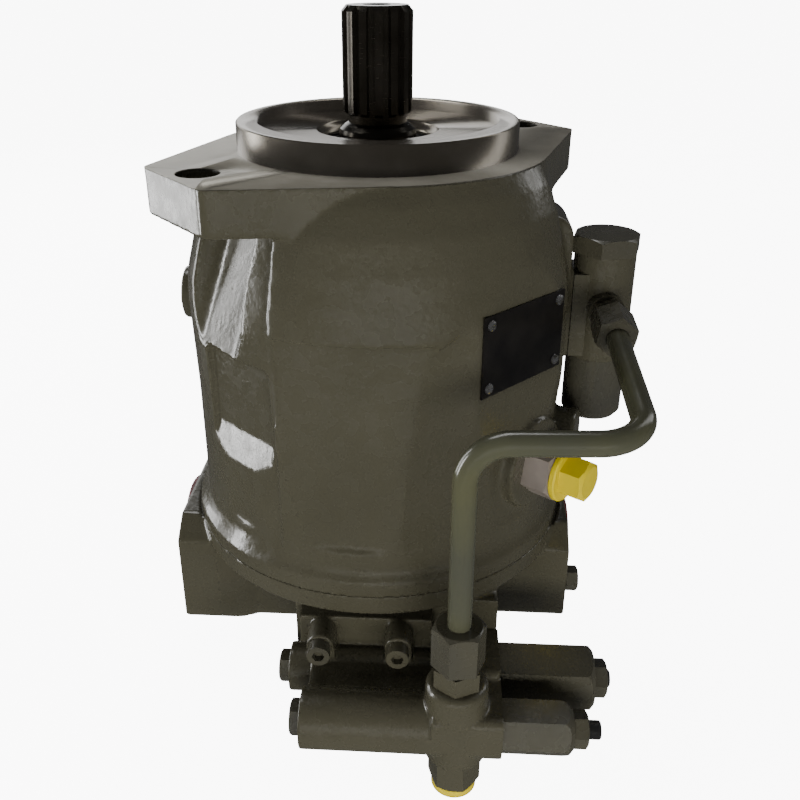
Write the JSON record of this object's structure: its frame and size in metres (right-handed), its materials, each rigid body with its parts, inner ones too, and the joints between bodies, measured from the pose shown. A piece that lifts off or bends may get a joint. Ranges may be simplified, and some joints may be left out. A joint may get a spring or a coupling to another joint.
{
  "type": "axial piston pump",
  "caption": "Variable axial piston pump with two-bolt flange, splined shaft, tilting swash plate, side ports and control valves joined by a rigid pipe.",
  "frame": {"origin": "centre of the mounting face on the shaft axis", "axes": "+Z along the shaft towards its free end, X through the side ports, -Y towards the control valve"},
  "size_m": [0.2261, 0.2325, 0.3162],
  "materials": {
    "paint": "semi-gloss enamel over casting",
    "paint_fittings": "semi-gloss enamel over machined steel",
    "paint_pipe": "gloss enamel",
    "shaft_steel": "dark hardened steel",
    "steel": "ground",
    "bearing_steel": "polished",
    "barrel_iron": "machined",
    "bronze": "machined bronze",
    "spring_steel": "wire",
    "rubber_black": "matt",
    "label_black": "satin black",
    "rivet_silver": "bright",
    "cap_yellow": "gloss",
    "cover_red": "satin"
  },
  "bodies": {
    "case": {"housing": "paint", "port_plate": "paint", "port_plate_screws": "paint_fittings", "housing_o_ring": "rubber_black", "bearing_cups": "bearing_steel", "shaft_seal": "rubber_black", "seal_circlip": "spring_steel", "cradle_shells": "bearing_steel", "distributor_plate": "steel", "lock_nuts": "paint_fittings", "nameplate": "label_black", "nameplate_rivets": "rivet_silver", "hex_adapters": "paint_fittings", "yellow_caps": "cap_yellow", "valve_body": "paint", "valve_screws": "paint_fittings", "spring_housings": "paint_fittings", "blanking_plugs": "paint_fittings", "control_pipe": "paint_pipe", "pipe_nuts": "paint_fittings", "power_valve_body": "paint", "power_valve_caps": "paint_fittings", "port_covers": "cover_red", "return_spring": "spring_steel", "valve_springs": "spring_steel"},
    "rotor": {"drive_shaft": "shaft_steel", "cylinder_barrel": "barrel_iron", "retainer_ball": "steel", "pressure_pins": "steel", "barrel_spring": "spring_steel", "bearing_cones": "bearing_steel"},
    "bearing_cages": {"bearing_rollers": "bearing_steel"},
    "swash": {"swash_plate": "steel"},
    "cradle_cage": {"cradle_rollers": "bearing_steel"},
    "retainer": {"retainer_plate": "steel"},
    "stroking": {"stroking_piston": "steel"},
    "returning": {"return_piston": "steel"},
    "spool_pressure": {"pressure_spool": "steel"},
    "spool_flow": {"flow_spool": "steel"},
    "spool_power": {"power_spool": "steel"},
    "screw_pressure": {"pressure_adjuster": "spring_steel"},
    "screw_flow": {"flow_adjuster": "spring_steel"},
    "slipper_body_1": {"slipper_1": "bronze"},
    "piston_body_1": {"piston_1": "steel"},
    "slipper_body_2": {"slipper_2": "bronze"},
    "piston_body_2": {"piston_2": "steel"},
    "slipper_body_3": {"slipper_3": "bronze"},
    "piston_body_3": {"piston_3": "steel"},
    "slipper_body_4": {"slipper_4": "bronze"},
    "piston_body_4": {"piston_4": "steel"},
    "slipper_body_5": {"slipper_5": "bronze"},
    "piston_body_5": {"piston_5": "steel"},
    "slipper_body_6": {"slipper_6": "bronze"},
    "piston_body_6": {"piston_6": "steel"},
    "slipper_body_7": {"slipper_7": "bronze"},
    "piston_body_7": {"piston_7": "steel"},
    "slipper_body_8": {"slipper_8": "bronze"},
    "piston_body_8": {"piston_8": "steel"},
    "slipper_body_9": {"slipper_9": "bronze"},
    "piston_body_9": {"piston_9": "steel"}
  },
  "joints": [
    {"name": "shaft_spin", "type": "hinge", "parent": "case", "child": "rotor", "pos_m": [0, 0, 0], "axis": [0, 0, 1], "continuous": true},
    {"name": "swash_tilt", "type": "hinge", "parent": "case", "child": "swash", "pos_m": [0, 0, -0.101], "axis": [1, 0, 0], "range_deg": [0, 16]},
    {"name": "retainer_spin", "type": "hinge", "parent": "swash", "child": "retainer", "pos_m": [0, 0, -0.101], "axis": [0, 0, 1], "continuous": true},
    {"name": "slipper_spin_1", "type": "hinge", "parent": "retainer", "child": "slipper_body_1", "pos_m": [0, 0.03875, -0.101], "axis": [0, 0, 1], "continuous": true},
    {"name": "piston_ball_1", "type": "hinge", "parent": "slipper_body_1", "child": "piston_body_1", "pos_m": [0, 0.03875, -0.101], "axis": [1, 0, 0], "range_deg": [-16.2, 0]},
    {"name": "slipper_spin_2", "type": "hinge", "parent": "retainer", "child": "slipper_body_2", "pos_m": [-0.02491, 0.02968, -0.101], "axis": [0, 0, 1], "continuous": true},
    {"name": "piston_ball_2", "type": "hinge", "parent": "slipper_body_2", "child": "piston_body_2", "pos_m": [-0.02491, 0.02968, -0.101], "axis": [1, 0, 0], "range_deg": [-16.2, 0]},
    {"name": "slipper_spin_3", "type": "hinge", "parent": "retainer", "child": "slipper_body_3", "pos_m": [-0.03816, 0.00673, -0.101], "axis": [0, 0, 1], "continuous": true},
    {"name": "piston_ball_3", "type": "hinge", "parent": "slipper_body_3", "child": "piston_body_3", "pos_m": [-0.03816, 0.00673, -0.101], "axis": [1, 0, 0], "range_deg": [-16.2, 0]},
    {"name": "slipper_spin_4", "type": "hinge", "parent": "retainer", "child": "slipper_body_4", "pos_m": [-0.03356, -0.01938, -0.101], "axis": [0, 0, 1], "continuous": true},
    {"name": "piston_ball_4", "type": "hinge", "parent": "slipper_body_4", "child": "piston_body_4", "pos_m": [-0.03356, -0.01938, -0.101], "axis": [1, 0, 0], "range_deg": [-16.2, 0]},
    {"name": "slipper_spin_5", "type": "hinge", "parent": "retainer", "child": "slipper_body_5", "pos_m": [-0.01325, -0.03641, -0.101], "axis": [0, 0, 1], "continuous": true},
    {"name": "piston_ball_5", "type": "hinge", "parent": "slipper_body_5", "child": "piston_body_5", "pos_m": [-0.01325, -0.03641, -0.101], "axis": [1, 0, 0], "range_deg": [-16.2, 0]},
    {"name": "slipper_spin_6", "type": "hinge", "parent": "retainer", "child": "slipper_body_6", "pos_m": [0.01325, -0.03641, -0.101], "axis": [0, 0, 1], "continuous": true},
    {"name": "piston_ball_6", "type": "hinge", "parent": "slipper_body_6", "child": "piston_body_6", "pos_m": [0.01325, -0.03641, -0.101], "axis": [1, 0, 0], "range_deg": [-16.2, 0]},
    {"name": "slipper_spin_7", "type": "hinge", "parent": "retainer", "child": "slipper_body_7", "pos_m": [0.03356, -0.01938, -0.101], "axis": [0, 0, 1], "continuous": true},
    {"name": "piston_ball_7", "type": "hinge", "parent": "slipper_body_7", "child": "piston_body_7", "pos_m": [0.03356, -0.01938, -0.101], "axis": [1, 0, 0], "range_deg": [-16.2, 0]},
    {"name": "slipper_spin_8", "type": "hinge", "parent": "retainer", "child": "slipper_body_8", "pos_m": [0.03816, 0.00673, -0.101], "axis": [0, 0, 1], "continuous": true},
    {"name": "piston_ball_8", "type": "hinge", "parent": "slipper_body_8", "child": "piston_body_8", "pos_m": [0.03816, 0.00673, -0.101], "axis": [1, 0, 0], "range_deg": [-16.2, 0]},
    {"name": "slipper_spin_9", "type": "hinge", "parent": "retainer", "child": "slipper_body_9", "pos_m": [0.02491, 0.02968, -0.101], "axis": [0, 0, 1], "continuous": true},
    {"name": "piston_ball_9", "type": "hinge", "parent": "slipper_body_9", "child": "piston_body_9", "pos_m": [0.02491, 0.02968, -0.101], "axis": [1, 0, 0], "range_deg": [-16.2, 0]},
    {"name": "bearing_roll", "type": "hinge", "parent": "case", "child": "bearing_cages", "pos_m": [0, 0, 0], "axis": [0, 0, 1], "continuous": true},
    {"name": "cradle_roll", "type": "hinge", "parent": "case", "child": "cradle_cage", "pos_m": [0, 0, -0.101], "axis": [1, 0, 0], "range_deg": [0, 8]},
    {"name": "stroking_slide", "type": "slide", "parent": "case", "child": "stroking", "axis": [0, 0, 1], "range_m": [-0.0195, 0]},
    {"name": "return_slide", "type": "slide", "parent": "case", "child": "returning", "axis": [0, 0, 1], "range_m": [0, 0.0187], "deforming": ["return_spring"]},
    {"name": "pressure_spool_slide", "type": "slide", "parent": "case", "child": "spool_pressure", "axis": [1, 0, 0], "range_m": [-0.002, 0.002]},
    {"name": "flow_spool_slide", "type": "slide", "parent": "case", "child": "spool_flow", "axis": [1, 0, 0], "range_m": [-0.002, 0.002]},
    {"name": "power_spool_slide", "type": "slide", "parent": "case", "child": "spool_power", "axis": [0, 0, 1], "range_m": [-0.002, 0.002]},
    {"name": "pressure_screw_turn", "type": "hinge", "parent": "case", "child": "screw_pressure", "pos_m": [0.1, -0.094, -0.222], "axis": [1, 0, 0], "range_deg": [-360, 360]},
    {"name": "flow_screw_turn", "type": "hinge", "parent": "case", "child": "screw_flow", "pos_m": [0.09, -0.125, -0.222], "axis": [1, 0, 0], "range_deg": [-360, 360]}
  ],
  "couplings": [
    {"joint": "retainer_spin", "follows": "shaft_spin", "ratio": 1},
    {"joint": "slipper_spin_1", "follows": "shaft_spin", "ratio": -1},
    {"joint": "piston_ball_1", "follows": "swash_tilt", "ratio": -1},
    {"joint": "slipper_spin_2", "follows": "shaft_spin", "ratio": -1},
    {"joint": "piston_ball_2", "follows": "swash_tilt", "ratio": -1},
    {"joint": "slipper_spin_3", "follows": "shaft_spin", "ratio": -1},
    {"joint": "piston_ball_3", "follows": "swash_tilt", "ratio": -1},
    {"joint": "slipper_spin_4", "follows": "shaft_spin", "ratio": -1},
    {"joint": "piston_ball_4", "follows": "swash_tilt", "ratio": -1},
    {"joint": "slipper_spin_5", "follows": "shaft_spin", "ratio": -1},
    {"joint": "piston_ball_5", "follows": "swash_tilt", "ratio": -1},
    {"joint": "slipper_spin_6", "follows": "shaft_spin", "ratio": -1},
    {"joint": "piston_ball_6", "follows": "swash_tilt", "ratio": -1},
    {"joint": "slipper_spin_7", "follows": "shaft_spin", "ratio": -1},
    {"joint": "piston_ball_7", "follows": "swash_tilt", "ratio": -1},
    {"joint": "slipper_spin_8", "follows": "shaft_spin", "ratio": -1},
    {"joint": "piston_ball_8", "follows": "swash_tilt", "ratio": -1},
    {"joint": "slipper_spin_9", "follows": "shaft_spin", "ratio": -1},
    {"joint": "piston_ball_9", "follows": "swash_tilt", "ratio": -1},
    {"joint": "bearing_roll", "follows": "shaft_spin", "ratio": 0.44},
    {"joint": "cradle_roll", "follows": "swash_tilt", "ratio": 0.475},
    {"joint": "stroking_slide", "follows": "swash_tilt", "m_per_rad": -0.06897},
    {"joint": "return_slide", "follows": "swash_tilt", "m_per_rad": 0.066}
  ]
}
